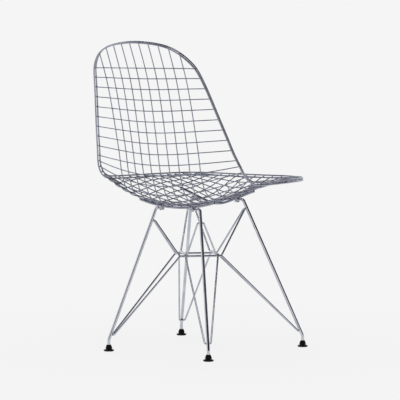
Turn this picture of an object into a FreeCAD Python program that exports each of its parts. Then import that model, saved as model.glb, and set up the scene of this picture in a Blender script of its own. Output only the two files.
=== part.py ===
import FreeCAD, Part
import math
import os

# Wire shell side chair on a braced rod base.
# Millimetres, +Z up, floor at z = 0, sitter faces -Y, sitter's left is +X.
# Heights are real; depths are counted from the middle of the four feet and
# moved by ORIGIN_SHIFT_Y on writing, so the origin is under the middle of the chair.

Vector = FreeCAD.Vector

ORIGIN_SHIFT_Y = -27.9

# Mesh of the shell
LONG_PITCH = 29.0
MESH_WIRE = 2.8
RIM_WIRE = 4.2
WELD_GAP = 0.1
LONG_WIRES = 10
CROSS_WIRES = 27
FIRST_CROSS_BELOW_TOP = 75.0
LAST_CROSS_BEHIND_FRONT = 19.9
LAST_BACK_ROW = 10
FIRST_SEAT_ROW = 17
FIRST_SIDE_ROW = 13
SIDE_WIRE_OVERHANG = 4.0
RIM_CLEARANCE = LONG_PITCH / 4
RIM_CHORD_MIN = LONG_PITCH / 3
RIM_CHORD_MAX = LONG_PITCH * 1.3

# Centre line of the shell from the top of the back to the front of the seat, as (y, z)
CENTRE_PROFILE = [
    (291.8, 827.0), (276.5, 795.0), (260.3, 759.0), (242.5, 704.5), (229.0, 648.5),
    (217.0, 591.5), (206.0, 534.0), (195.0, 484.0), (183.0, 449.0), (165.0, 417.5),
    (139.0, 400.8), (110.0, 395.0), (60.0, 392.6), (0.0, 391.6), (-76.0, 395.0),
    (-130.0, 408.5), (-180.0, 432.5), (-215.0, 449.8), (-238.0, 456.0),
]

# Half of the rim from the top of the back, down the sitter's left, to the front, as (x, y, z).
# From the front corner on it runs straight.
FRONT_CORNER_X = 126.0
RIM_CURVE = [
    (0.0, 291.8, 827.0), (45.0, 288.5, 824.3), (75.0, 284.0, 820.0), (104.0, 277.5, 812.0),
    (126.0, 271.0, 801.0), (143.0, 262.5, 787.0), (161.0, 249.5, 766.0), (173.5, 234.0, 735.0),
    (188.0, 212.0, 681.0), (201.3, 192.7, 628.0), (214.5, 172.8, 575.0), (227.0, 153.5, 525.0),
    (233.5, 144.0, 504.0), (237.5, 132.0, 484.0), (241.0, 114.0, 468.5), (243.3, 92.0, 460.5),
    (243.5, 60.0, 458.0), (240.0, 15.0, 457.3), (234.0, -35.0, 457.0), (226.5, -90.0, 457.0),
    (216.0, -147.0, 456.8), (189.6, -210.6, 456.5), (FRONT_CORNER_X, -237.0, 456.2),
    (60.0, -238.0, 456.0), (0.0, -238.0, 456.0),
]
WIDEST_RIM_PLACE = max(RIM_CURVE)

# Cross section of the shell: how wide a row stays flat in the back, in the bend and in the
# seat, and how much a seat row eases again towards the rim
BACK_FLAT = 100.0
BEND_FLAT = 600.0
SEAT_FLAT = 40.0
SEAT_EASING = 0.0017
BEND_ROWS = (9.0, 15.0)
SEAT_ROWS = (15.2, 21.2)

# Rails under the seat
RAIL_ROD = 7.0
REAR_RAIL_Y = 106.0
FRONT_RAIL_Y = -76.0
RAIL_LONG_WIRES = 8
RAIL_OVERHANG = 19.5

# Legs
LEG_ROD = 8.5
REAR_FOOT = (165.0, 190.0)
FRONT_FOOT = (205.5, -190.0)
FOOT_BEND_Z = 30.0
REAR_LEG_TOP = (72.0, 100.0)
FRONT_LEG_TOP = (86.0, -76.0)
LEG_BEND_RADIUS = 7.0
KNEE_RADIUS = 20.0
REAR_MOUNT_X = 51.0
FRONT_MOUNT_X = 67.0
TONGUE_LENGTH = 20.0
TONGUE_WIDTH = 10.5
TONGUE_THICK = 4.0
TONGUE_ROOT = 2.0

# Saddles and screws that join the legs to the rails
SADDLE_UNDER_RAIL = 2.6
SADDLE_LENGTH = 12.0
SADDLE_WIDTH = 11.0
SADDLE_CHEEK = 1.9
SCREW_SHANK = 4.0
SCREW_HEAD = 8.0
SCREW_HEAD_HIGH = 1.8
SCREW_IN_RAIL = 4.5
SCREW_SOCKET = 3.0
SCREW_SOCKET_DEEP = 1.1
SCREW_TIP_ROOM = 0.5
HOLE_PLAY = 0.15
SEAT_PLAY = 0.05

# Braces of the base
BRACE_ROD = 5.0
RING_Z = 257.7
RING_Y = 9.0
RING_HALF = 44.5
RING_RUN = 113.0
BRACE_U_WIDTH = 16.0
BRACE_RING_BEND = 9.0
BRACE_U_BEND = 5.5
BRACE_WELD_GAP = 0.45
LOWER_WELD_Z = 44.0
REAR_UPPER_WELD_Z = 350.0
FRONT_UPPER_WELD_Z = 378.0

# Self-levelling glides
FLANGE = 28.0
FLANGE_HIGH = 4.2
FLANGE_FOOT = 25.0
FLANGE_EDGE_Z = 1.9
FLANGE_BEVEL = 0.6
CAP_WIDE = 17.4
CAP_TOP_WIDE = 10.6
CAP_TOP_Z = 17.6
CAP_SHOULDER_Z = 9.5
CAP_DOME_STEP = 1.6
CAP_DOME_Z = 15.2
CAP_GAP = 1.2
LEG_END_Z = 12.4
CAP_BORE_PLAY = 0.05
CAP_FLOOR = 1.6
BALL_Z = 8.0
BALL = 6.4
BALL_HIGH = 4.4
BALL_BELT = 1.5
BALL_CROWN = 3.6
NECK = 4.4
SOCKET_PLAY = 0.4
SOCKET_GRIP = 0.2
SOCKET_LIP = 1.0

# Facets round each rod, hole and turned piece
FACETS = {"wire": 4, "rim": 6, "brace": 6, "rail": 8, "leg": 10, "turned": 16, "hole": 12}
BEND_STEP = math.radians(40.0)


def mid(a, b, share=0.5):
    return a + (b - a) * share


def unit(v):
    return Vector(v).normalize()


def mirrored(v):
    return Vector(-v.x, v.y, v.z)


class Track:
    """A smooth curve read by the length along it."""

    STEPS = 4000

    def __init__(self, points, start, end):
        curve = Part.BSplineCurve()
        curve.interpolate(Points=[Vector(*p) for p in points], InitialTangent=start, FinalTangent=end)
        edge = curve.toShape()
        self.length = edge.Length
        self.points = edge.discretize(self.STEPS + 1)

    def at(self, length):
        place = min(max(length / self.length, 0.0), 1.0) * self.STEPS
        index = min(int(place), self.STEPS - 1)
        return mid(self.points[index], self.points[index + 1], place - index)

    def find(self, measure, target, low, high):
        """Length between low and high where the measure reaches the target."""
        rising = measure(self.at(high)) > measure(self.at(low))
        for _ in range(30):
            middle = (low + high) / 2
            if (measure(self.at(middle)) < target) == rising:
                low = middle
            else:
                high = middle
        return (low + high) / 2


def smooth_step(value, span):
    """0 below the span, 1 above it and an S curve between."""
    share = min(max((value - span[0]) / (span[1] - span[0]), 0.0), 1.0)
    return share * share * (3 - 2 * share)


def bow(x, flat, ease):
    return math.hypot(x, flat) - flat - ease * x * x


CENTRE = Track([(0.0, y, z) for y, z in CENTRE_PROFILE], Vector(0, -0.42, -1), Vector(0, -1, 0.1))
RIM = Track(RIM_CURVE, Vector(1, 0, 0), Vector(-1, 0, 0))


class Shell:
    """The curved sheet that the mesh lies in. Row k is the k-th cross wire from the top."""

    def __init__(self):
        self.first = FIRST_CROSS_BELOW_TOP
        self.pitch = (CENTRE.length - self.first - LAST_CROSS_BEHIND_FRONT) / (CROSS_WIRES - 1)
        first_z = CENTRE.at(self.first).z
        widest = RIM.find(lambda p: p.y, WIDEST_RIM_PLACE[1], 0.0, RIM.length)
        self.side_start = RIM.find(lambda p: -p.z, -first_z, 0.0, widest)
        self.widest = widest
        self.back_end = self.side_start + (LAST_BACK_ROW - 1) * self.pitch
        self.seat_start = self.length_at_depth(self.centre(FIRST_SEAT_ROW).y)

    def length_at_depth(self, y):
        return RIM.find(lambda p: -p.y, -y, 0.0, RIM.length - FRONT_CORNER_X)

    def centre(self, row):
        return CENTRE.at(self.first + (row - 1) * self.pitch)

    def rim_length(self, row):
        if row <= LAST_BACK_ROW:
            return self.side_start + (row - 1) * self.pitch
        if row < FIRST_SEAT_ROW:
            share = (row - LAST_BACK_ROW) / (FIRST_SEAT_ROW - LAST_BACK_ROW)
            return self.back_end + (self.seat_start - self.back_end) * share
        return self.length_at_depth(self.centre(row).y)

    def rim(self, row):
        return RIM.at(self.rim_length(row))

    def point(self, row, x):
        middle = self.centre(row)
        edge = self.rim(max(row, 1.0))
        if row < 1.0:
            edge = middle + (edge - self.centre(1.0))
        share = self.rise(row, x, edge.x)
        return Vector(x, middle.y + (edge.y - middle.y) * share, middle.z + (edge.z - middle.z) * share)

    @staticmethod
    def rise(row, x, edge_x):
        """How far the row has come from its middle to the rim at x, from 0 to 1."""
        flat = mid(BACK_FLAT, BEND_FLAT, smooth_step(row, BEND_ROWS))
        behind = bow(x, flat, 0.0) / bow(edge_x, flat, 0.0)
        ahead = bow(x, SEAT_FLAT, SEAT_EASING) / bow(edge_x, SEAT_FLAT, SEAT_EASING)
        return mid(behind, ahead, smooth_step(row, SEAT_ROWS))

    def normal(self, row, x):
        """Unit normal towards the sitter."""
        across = self.point(row, x + 2.0) - self.point(row, x - 2.0)
        down = self.point(row + 0.3, x) - self.point(row - 0.3, x)
        return unit(down.cross(across))

    def layer(self, row, x, lift):
        return self.point(row, x) + self.normal(row, x) * lift

    def row_under(self, x, y):
        """Row of the seat that lies above the floor point (x, y)."""
        low = float(LAST_BACK_ROW)
        high = float(CROSS_WIRES)
        for _ in range(30):
            middle = (low + high) / 2
            if self.point(middle, x).y > y:
                low = middle
            else:
                high = middle
        return low


SHELL = Shell()
LAYER_LIFT = MESH_WIRE / 2 + WELD_GAP / 2
LONG_X = [(i + 0.5) * LONG_PITCH for i in range(LONG_WIRES // 2)]
WIDEST_X = RIM.at(SHELL.widest).x
SIDE_X = []
while LONG_X[-1] + LONG_PITCH * (len(SIDE_X) + 1.5) < WIDEST_X + LONG_PITCH / 2:
    SIDE_X.append(LONG_X[-1] + LONG_PITCH * (len(SIDE_X) + 1))


def polygon_ring(centre, direction, facing, apothem, sides):
    """Corners of a regular polygon square to direction with one flat towards facing."""
    direction = unit(direction)
    first = unit(facing - direction * facing.dot(direction))
    second = direction.cross(first)
    reach = apothem / math.cos(math.pi / sides)
    ring = []
    for i in range(sides):
        angle = (i + 0.5) * 2 * math.pi / sides
        ring.append(centre + first * (reach * math.cos(angle)) + second * (reach * math.sin(angle)))
    return ring


def slide_ring(ring, direction, point, plane_normal):
    """The ring carried along direction until it lies in the plane through point."""
    moved = []
    for corner in ring:
        travel = (point - corner).dot(plane_normal) / direction.dot(plane_normal)
        moved.append(corner + direction * travel)
    return moved


def rod_rings(points, facing, apothem, sides, anchor=0, start_plane=None, end_plane=None):
    """Rings of a faceted rod with mitred bends. The run after the anchor has a flat towards facing."""
    runs = [unit(b - a) for a, b in zip(points, points[1:])]
    planes = [start_plane or runs[0]]
    planes += [unit(a + b) for a, b in zip(runs, runs[1:])]
    planes.append(end_plane or runs[-1])
    ring = polygon_ring(points[anchor], runs[anchor], facing, apothem, sides)
    rings = [slide_ring(ring, runs[anchor], points[anchor], planes[anchor])]
    for i in range(anchor, len(runs)):
        rings.append(slide_ring(rings[-1], runs[i], points[i + 1], planes[i + 1]))
    for i in range(anchor - 1, -1, -1):
        rings.insert(0, slide_ring(rings[0], runs[i], points[i], planes[i]))
    return rings


def flat_face(corners):
    return Part.Face(Part.makePolygon(list(corners) + [corners[0]]))


def side_faces(rings):
    faces = []
    for first, second in zip(rings, rings[1:]):
        for i in range(len(first)):
            j = (i + 1) % len(first)
            faces.append(flat_face([first[i], first[j], second[j], second[i]]))
    return faces


def closed_solid(faces):
    solid = Part.makeSolid(Part.makeShell(faces))
    if solid.Volume < 0:
        solid.reverse()
    return solid


def faceted_rod(points, facing, apothem, sides, anchor=0):
    rings = rod_rings(points, facing, apothem, sides, anchor)
    return closed_solid(side_faces(rings) + [flat_face(rings[0]), flat_face(rings[-1])])


def hole_corner(radius, sides):
    """Corner radius of a faceted hole whose flats lie at the given radius."""
    return radius / math.cos(math.pi / sides)


def turned(profile, sides, foot, axis=Vector(0, 0, 1)):
    """Faceted turned piece. The profile is a closed loop of (radius, height) from axis to axis."""
    rings = []
    for radius, height in profile:
        centre = foot + axis * height
        if radius == 0:
            rings.append([centre])
        else:
            apothem = radius * math.cos(math.pi / sides)
            rings.append(polygon_ring(centre, axis, Vector(0, 1, 0), apothem, sides))
    faces = []
    for first, second in zip(rings, rings[1:]):
        if len(first) == 1 or len(second) == 1:
            faces.append(flat_face(first if len(second) == 1 else second))
        else:
            faces += side_faces([first, second])
    return closed_solid(faces)


def rounded_path(corners, radii):
    """Corner points replaced by short chords of arcs."""
    path = [corners[0]]
    for i in range(1, len(corners) - 1):
        inward = unit(corners[i - 1] - corners[i])
        outward = unit(corners[i + 1] - corners[i])
        turn = math.pi - inward.getAngle(outward)
        setback = radii[i - 1] * math.tan(turn / 2)
        start = corners[i] + inward * setback
        hub_way = unit(inward + outward)
        hub = corners[i] + hub_way * (radii[i - 1] / math.cos(turn / 2))
        axis = unit(outward.cross(inward))
        steps = max(1, math.ceil(turn / BEND_STEP))
        spoke = start - hub
        spin = turn if (FreeCAD.Rotation(axis, math.degrees(turn)).multVec(spoke) + hub
                        - (corners[i] + outward * setback)).Length < 1e-3 else -turn
        for n in range(steps + 1):
            turned = FreeCAD.Rotation(axis, math.degrees(spin * n / steps)).multVec(spoke)
            path.append(hub + turned)
    path.append(corners[-1])
    return path


# Shell

def cross_wire(row):
    edge = SHELL.rim(row)
    crossings = list(LONG_X)
    if row >= FIRST_SIDE_ROW:
        crossings += [x for x in SIDE_X if edge.x - x > RIM_CLEARANCE]
    half = [SHELL.layer(row, x, LAYER_LIFT) for x in crossings] + [edge]
    points = [mirrored(p) for p in reversed(half)] + half
    return faceted_rod(points, SHELL.normal(row, 0.0), MESH_WIRE / 2, FACETS["wire"], len(half) - 1)


def long_wire(x):
    top = RIM.at(RIM.find(lambda p: p.x, x, 0.0, SHELL.side_start))
    front = RIM.at(RIM.find(lambda p: -p.x, -x, SHELL.widest, RIM.length))
    rows = [SHELL.layer(row, x, -LAYER_LIFT) for row in range(1, CROSS_WIRES + 1)]
    facing = SHELL.normal(LAST_BACK_ROW, x)
    return faceted_rod([top] + rows + [front], facing, MESH_WIRE / 2, FACETS["wire"], LAST_BACK_ROW)


def side_wire(x):
    """A seat wire outside the back wires. It starts on a cross wire in the bend."""
    rows = [row for row in range(FIRST_SIDE_ROW, CROSS_WIRES + 1) if SHELL.rim(row).x - x > RIM_CLEARANCE]
    points = [SHELL.layer(row, x, -LAYER_LIFT) for row in rows]
    points.insert(0, points[0] + unit(points[0] - points[1]) * SIDE_WIRE_OVERHANG)
    front = RIM.at(RIM.find(lambda p: -p.x, -x, SHELL.widest, RIM.length))
    ends = [SHELL.rim(row) for row in range(FIRST_SEAT_ROW, CROSS_WIRES + 1)]
    if min((front - end).Length for end in ends) > RIM_CHORD_MIN:
        points.append(front)
    else:
        points.append(points[-1] + unit(points[-1] - points[-2]) * SIDE_WIRE_OVERHANG)
    anchor = len(points) // 2
    return faceted_rod(points, SHELL.normal(rows[anchor - 1], x), MESH_WIRE / 2, FACETS["wire"], anchor)


def with_mirror(solid):
    return [solid, solid.mirror(Vector(0, 0, 0), Vector(1, 0, 0))]


def rim_junctions():
    """Places on the left half of the rim, each with the way into the mesh."""
    found = []
    for x in LONG_X:
        length = RIM.find(lambda p: p.x, x, 0.0, SHELL.side_start)
        found.append((length, SHELL.point(1, x) - RIM.at(length)))
    for row in range(1, CROSS_WIRES + 1):
        inner = LONG_X[-1] if row < FIRST_SIDE_ROW else max(x for x in SIDE_X + LONG_X
                                                            if SHELL.rim(row).x - x > RIM_CLEARANCE)
        found.append((SHELL.rim_length(row), SHELL.point(row, inner) - SHELL.rim(row)))
    for x in LONG_X + SIDE_X[:-1]:
        length = RIM.find(lambda p: -p.x, -x, SHELL.widest, RIM.length)
        found.append((length, SHELL.point(CROSS_WIRES - 1, x) - RIM.at(length)))
    found.sort(key=lambda item: item[0])
    return found


def spaced_junctions():
    """The junctions with near neighbours dropped and wide gaps filled."""
    kept = [(0.0, SHELL.point(1, 0.0) - RIM.at(0.0))]
    for length, inward in rim_junctions():
        gap = length - kept[-1][0]
        if gap < RIM_CHORD_MIN:
            continue
        if gap > RIM_CHORD_MAX:
            kept.append((length - gap / 2, unit(kept[-1][1]) + unit(inward)))
        kept.append((length, inward))
    end = (RIM.length, SHELL.point(CROSS_WIRES - 1, 0.0) - RIM.at(RIM.length))
    return kept + [end]


def rim_strand(side):
    """One of the two closed rods that hold the wire ends between them."""
    lift = side * (MESH_WIRE / 2 + WELD_GAP + RIM_WIRE / 2)
    points = []
    for length, inward in spaced_junctions():
        tangent = RIM.at(length + 1.0) - RIM.at(length - 1.0)
        points.append(RIM.at(length) + unit(inward.cross(tangent)) * (-lift))
    across = Vector(1, 0, 0)
    points[0].x = 0.0
    points[-1].x = 0.0
    apothem = RIM_WIRE / 2 * math.cos(math.pi / FACETS["rim"])
    rings = rod_rings(points, SHELL.normal(1, 0.0), apothem, FACETS["rim"], 0, across, across)
    other = [[mirrored(corner) for corner in ring] for ring in rings]
    return closed_solid(side_faces(rings) + side_faces(other))


def rail_points(y):
    """Left half of a rail's centre line. The rail lies under the long wires."""
    drop = -(MESH_WIRE + WELD_GAP * 1.5 + RAIL_ROD / 2)
    carried = LONG_X[:RAIL_LONG_WIRES // 2]
    side = []
    for x in carried + [carried[-1] + RAIL_OVERHANG]:
        place = SHELL.layer(SHELL.row_under(x, y), x, drop)
        side.append(Vector(place.x, y, place.z))
    return side


def rail(y, mount_x):
    side = rail_points(y)
    points = [mirrored(p) for p in reversed(side)] + side
    body = faceted_rod(points, Vector(0, 0, 1), RAIL_ROD / 2, FACETS["rail"])
    for sign in (-1, 1):
        frame = mount_frame(y, mount_x, sign)
        body = body.cut(frame.hole(SCREW_SHANK / 2 + SEAT_PLAY, -RAIL_ROD, SCREW_HOLE_END))
    return body


class MountFrame:
    """Local axes of one leg joint: origin on the rail axis, u inwards along the rail, w up."""

    def __init__(self, origin, u, v, w):
        self.origin = origin
        self.u = u
        self.v = v
        self.w = w

    def at(self, u, v, w):
        return self.origin + self.u * u + self.v * v + self.w * w

    def hole(self, radius, low, high):
        """Cutter for a screw hole whose flats lie at the given radius."""
        reach = hole_corner(radius, FACETS["hole"])
        return turned([(0, low), (reach, low), (reach, high), (0, high)], FACETS["hole"], self.origin, self.w)

    def block(self, u0, u1, half_v, w0, w1):
        ends = [(u0, -half_v), (u1, -half_v), (u1, half_v), (u0, half_v)]
        corners = [self.at(u, v, w0) for u, v in ends]
        return flat_face(corners).extrude(self.w * (w1 - w0))


def mount_frame(y, mount_x, sign):
    side = rail_points(y)
    inner = side[1]
    outer = side[2]
    share = (mount_x - inner.x) / (outer.x - inner.x)
    origin = mid(inner, outer, share)
    u = unit(inner - outer)
    v = Vector(0, 1, 0)
    w = Vector(-u.z, 0, u.x)
    if w.z < 0:
        w = w * -1
    if sign < 0:
        return MountFrame(mirrored(origin), mirrored(u), v, mirrored(w))
    return MountFrame(origin, u, v, w)


TONGUE_DROP = RAIL_ROD / 2 + SADDLE_UNDER_RAIL + TONGUE_THICK / 2
SCREW_HOLE_END = SCREW_IN_RAIL - RAIL_ROD / 2 + SCREW_TIP_ROOM


def saddle(frame):
    low = -(RAIL_ROD / 2 + SADDLE_UNDER_RAIL) + SEAT_PLAY
    high = RAIL_ROD / 4 - SADDLE_CHEEK
    body = frame.block(-SADDLE_LENGTH / 2, SADDLE_LENGTH / 2, SADDLE_WIDTH / 2, low, high)
    ends = [frame.at(-SADDLE_LENGTH, 0, 0), frame.at(SADDLE_LENGTH, 0, 0)]
    groove = faceted_rod(ends, frame.w, RAIL_ROD / 2 + SEAT_PLAY, FACETS["rail"])
    hole = frame.hole(SCREW_SHANK / 2 + HOLE_PLAY, -2 * RAIL_ROD - SADDLE_UNDER_RAIL, 0)
    return body.cut(groove).cut(hole)


def screw(frame):
    """Socket head screw, from the sunk socket up to the tip inside the rail."""
    top = -(TONGUE_DROP + TONGUE_THICK / 2 + SEAT_PLAY)
    low = top - SCREW_HEAD_HIGH
    shank = SCREW_SHANK / 2
    head = SCREW_HEAD / 2
    profile = [
        (0, low + SCREW_SOCKET_DEEP), (SCREW_SOCKET / 2, low + SCREW_SOCKET_DEEP), (SCREW_SOCKET / 2, low),
        (head, low), (head, top), (shank, top), (shank, SCREW_IN_RAIL - RAIL_ROD / 2),
        (0, SCREW_IN_RAIL - RAIL_ROD / 2),
    ]
    return turned(profile, FACETS["hole"], frame.origin, frame.w)


# Base

class LegPlan:
    """Where one leg stands and where it is fastened."""

    def __init__(self, foot, top, mount, sign, upper_weld):
        self.foot = Vector(sign * foot[0], foot[1], 0)
        self.frame = mount_frame(*mount, sign)
        self.knee = self.foot + Vector(0, 0, FOOT_BEND_Z)
        tongue = self.frame.at(0, 0, -TONGUE_DROP)
        reach = (sign * top[0] - tongue.x) / -self.frame.u.x
        self.top = tongue - self.frame.u * reach
        self.top.y = top[1]
        self.upper_weld = upper_weld

    def axis_at(self, z):
        share = (z - self.knee.z) / (self.top.z - self.knee.z)
        return mid(self.knee, self.top, share)


REAR_MOUNT = (REAR_RAIL_Y, REAR_MOUNT_X)
FRONT_MOUNT = (FRONT_RAIL_Y, FRONT_MOUNT_X)
LEGS = {
    "rear_left": LegPlan(REAR_FOOT, REAR_LEG_TOP, REAR_MOUNT, 1, REAR_UPPER_WELD_Z),
    "rear_right": LegPlan(REAR_FOOT, REAR_LEG_TOP, REAR_MOUNT, -1, REAR_UPPER_WELD_Z),
    "front_right": LegPlan(FRONT_FOOT, FRONT_LEG_TOP, FRONT_MOUNT, -1, FRONT_UPPER_WELD_Z),
    "front_left": LegPlan(FRONT_FOOT, FRONT_LEG_TOP, FRONT_MOUNT, 1, FRONT_UPPER_WELD_Z),
}


def leg(plan):
    """Bent rod with a flattened, drilled upper end."""
    frame = plan.frame
    rod_end = frame.at(-TONGUE_LENGTH / 2 + TONGUE_ROOT, 0, -TONGUE_DROP)
    rod_end.y = mid(plan.top.y, rod_end.y)
    corners = [plan.foot + Vector(0, 0, LEG_END_Z), plan.knee, plan.top, rod_end]
    path = rounded_path(corners, [KNEE_RADIUS, LEG_BEND_RADIUS])
    apothem = LEG_ROD / 2 * math.cos(math.pi / FACETS["leg"])
    rod = faceted_rod(path, Vector(0, 1, 0), apothem, FACETS["leg"])
    tongue = frame.block(-TONGUE_LENGTH / 2, TONGUE_LENGTH / 2, TONGUE_WIDTH / 2,
                         -TONGUE_DROP - TONGUE_THICK / 2, -TONGUE_DROP + TONGUE_THICK / 2)
    hole = frame.hole(SCREW_SHANK / 2 + HOLE_PLAY, -TONGUE_DROP - TONGUE_THICK, -TONGUE_DROP + TONGUE_THICK)
    return rod.fuse(tongue).cut(hole)


def ring_corner(facing, towards, inset, z):
    """Corner of the ring run that faces one leg, at its end towards another leg."""
    way = unit(Vector(math.copysign(1, LEGS[facing].foot.x), math.copysign(1, LEGS[facing].foot.y), 0))
    run = unit(Vector(math.copysign(1, LEGS[towards].foot.x), math.copysign(1, LEGS[towards].foot.y), 0))
    return Vector(0, RING_Y, z) + way * (RING_HALF - inset) + run * (RING_RUN / 2)


def weld_corner(name, z, towards):
    """Corner of the short bend that is welded to the inner side of a leg."""
    axis = LEGS[name].axis_at(z)
    outward = unit(Vector(axis.x, axis.y - RING_Y, 0))
    touch = axis - outward * (LEG_ROD / 2 + BRACE_ROD / 2 + BRACE_WELD_GAP)
    across = unit(Vector(-outward.y, outward.x, 0))
    if across.dot(towards - axis) < 0:
        across = across * -1
    return touch, touch + across * (BRACE_U_WIDTH / 2)


def brace_half(first, second, facing, inset, z, weld_z):
    """Half of a closed brace: from one leg along one run of the ring to the opposite leg."""
    start = ring_corner(facing, first, inset, z)
    end = ring_corner(facing, second, inset, z)
    touch_a, corner_a = weld_corner(first, weld_z(first), start)
    touch_b, corner_b = weld_corner(second, weld_z(second), end)
    corners = [touch_a, corner_a, start, end, corner_b, touch_b]
    radii = [BRACE_U_BEND, BRACE_RING_BEND, BRACE_RING_BEND, BRACE_U_BEND]
    apothem = BRACE_ROD / 2 * math.cos(math.pi / FACETS["brace"])
    return faceted_rod(rounded_path(corners, radii), Vector(0, 0, 1), apothem, FACETS["brace"])


def brace(first, second, inset, level, weld_z):
    """Closed brace between two opposite legs, as its two butt-welded halves."""
    others = [name for name in LEGS if name not in (first, second)]
    z = RING_Z + level * (BRACE_ROD + WELD_GAP) / 2
    return [brace_half(first, second, facing, inset, z, weld_z) for facing in others]


def lower_weld(_name):
    return LOWER_WELD_Z


def upper_weld(name):
    return LEGS[name].upper_weld


CAP_LOW = FLANGE_HIGH + CAP_GAP


def glide_cap(plan):
    """Domed cap that turns on the end of the leg and holds the ball of the foot."""
    bore = hole_corner(LEG_ROD / 2 + CAP_BORE_PLAY, FACETS["turned"])
    bore_floor = LEG_END_Z - CAP_BORE_PLAY
    roof = bore_floor - CAP_FLOOR
    cavity = hole_corner(BALL / 2 + SOCKET_PLAY, FACETS["turned"])
    mouth = hole_corner(BALL / 2 - SOCKET_GRIP, FACETS["turned"])
    profile = [
        (0, roof), (cavity, roof), (cavity, CAP_LOW + SOCKET_LIP), (mouth, CAP_LOW + SOCKET_LIP),
        (mouth, CAP_LOW), (CAP_WIDE / 2, CAP_LOW), (CAP_WIDE / 2, CAP_SHOULDER_Z),
        (CAP_WIDE / 2 - CAP_DOME_STEP, CAP_DOME_Z), (CAP_TOP_WIDE / 2, CAP_TOP_Z), (bore, CAP_TOP_Z),
        (bore, bore_floor), (0, bore_floor),
    ]
    return turned(profile, FACETS["turned"], plan.foot)


def glide_foot(plan):
    """Round foot with a ball on a neck. It tilts under the cap."""
    low = BALL_Z - BALL_HIGH / 2
    high = BALL_Z + BALL_HIGH / 2
    profile = [
        (0, 0), (FLANGE_FOOT / 2, 0), (FLANGE / 2, FLANGE_EDGE_Z), (FLANGE / 2 - FLANGE_BEVEL, FLANGE_HIGH),
        (NECK / 2, FLANGE_HIGH), (NECK / 2, low), (BALL / 2, BALL_Z - BALL_BELT / 2),
        (BALL / 2, BALL_Z + BALL_BELT / 2), (BALL_CROWN / 2, high), (0, high),
    ]
    return turned(profile, FACETS["turned"], plan.foot)


def write(name, solids):
    shape = Part.makeCompound(solids) if len(solids) > 1 else solids[0]
    shape = shape.copy()
    shape.translate(Vector(0, ORIGIN_SHIFT_Y, 0))
    shape.exportStep(os.path.join("parts", name + ".step"))


def build_shell():
    write("rim_upper_strand", [rim_strand(1)])
    write("rim_lower_strand", [rim_strand(-1)])
    for i, x in enumerate(LONG_X, start=1):
        write("long_wires_pair_%d" % i, with_mirror(long_wire(x)))
    sides = [with_mirror(side_wire(x)) for x in SIDE_X]
    write("seat_side_wires_left", [pair[0] for pair in sides])
    write("seat_side_wires_right", [pair[1] for pair in sides])
    for row in range(1, CROSS_WIRES + 1):
        kind = "back" if row <= LAST_BACK_ROW else "bend" if row < FIRST_SEAT_ROW else "seat"
        write("cross_wire_%02d_%s" % (row, kind), [cross_wire(row)])


def build_base():
    write("rear_rail", [rail(*REAR_MOUNT)])
    write("front_rail", [rail(*FRONT_MOUNT)])
    write("rail_saddles", [saddle(plan.frame) for plan in LEGS.values()])
    write("saddle_screws", [screw(plan.frame) for plan in LEGS.values()])
    for name, plan in LEGS.items():
        write("leg_" + name, [leg(plan)])
        write("glide_cap_" + name, [glide_cap(plan)])
        write("glide_foot_" + name, [glide_foot(plan)])
    write("lower_brace_a", brace("rear_right", "front_left", 0.0, 1, lower_weld))
    write("lower_brace_b", brace("rear_left", "front_right", 0.0, -1, lower_weld))
    inset = BRACE_ROD + WELD_GAP
    write("upper_brace_a", brace("rear_right", "front_left", inset, 1, upper_weld))
    write("upper_brace_b", brace("rear_left", "front_right", inset, -1, upper_weld))


os.makedirs("parts", exist_ok=True)
build_shell()
build_base()
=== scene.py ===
"""Dressed scene of a wire mesh side chair: bent shell, double rim, braced rod base and glides."""
import logging
import math
from dataclasses import dataclass, field
from enum import Enum
from itertools import product
from typing import Callable, Iterable, Sequence

import bmesh
import bpy
import numpy as np
from mathutils import Matrix, Quaternion, Vector


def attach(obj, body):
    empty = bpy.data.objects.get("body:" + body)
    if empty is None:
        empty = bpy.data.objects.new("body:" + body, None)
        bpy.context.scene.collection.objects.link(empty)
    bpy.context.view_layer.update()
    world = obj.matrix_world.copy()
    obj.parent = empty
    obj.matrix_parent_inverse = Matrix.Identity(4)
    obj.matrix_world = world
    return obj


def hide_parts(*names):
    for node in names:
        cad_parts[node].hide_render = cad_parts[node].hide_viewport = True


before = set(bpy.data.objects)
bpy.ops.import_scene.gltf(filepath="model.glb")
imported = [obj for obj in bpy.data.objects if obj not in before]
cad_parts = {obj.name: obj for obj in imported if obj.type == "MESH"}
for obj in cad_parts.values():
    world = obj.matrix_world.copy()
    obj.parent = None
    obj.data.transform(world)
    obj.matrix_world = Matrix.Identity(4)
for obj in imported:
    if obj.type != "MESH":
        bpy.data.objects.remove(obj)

log = logging.getLogger("wire_chair")
Piece = bpy.types.Object
Node = bpy.types.Node
Pair = tuple[float, float]
Triple = tuple[float, float, float]
EndSizes = dict[int, Pair]
MM = 0.001
BUMP_DEPTH = 0.0001
MERGE_DISTANCE = 1e-6
HALVINGS = 30
BEND_STEP = math.radians(9)
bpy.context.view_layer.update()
SHIFT_Y = -27.9


class Slot(Enum):
    """Material slots of the record that the finishes stand for."""

    MESH = "chrome_mesh"
    RIM = "chrome_rim"
    BASE = "chrome_base"
    FITTINGS = "chrome_fittings"
    SCREW = "screw_steel"
    PLASTIC = "black_plastic"


class Leg(Enum):
    """The four legs, named from the sitter's side."""

    REAR_LEFT = "rear_left"
    REAR_RIGHT = "rear_right"
    FRONT_RIGHT = "front_right"
    FRONT_LEFT = "front_left"

    @property
    def side(self) -> int:
        """1 on the sitter's left, -1 on the right."""
        return 1 if self.value.endswith("left") else -1

    @property
    def fore(self) -> int:
        """1 at the rear, -1 at the front."""
        return 1 if self.value.startswith("rear") else -1


def unit(v: Vector) -> Vector:
    """The vector at length one."""
    return Vector(v).normalized()


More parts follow.
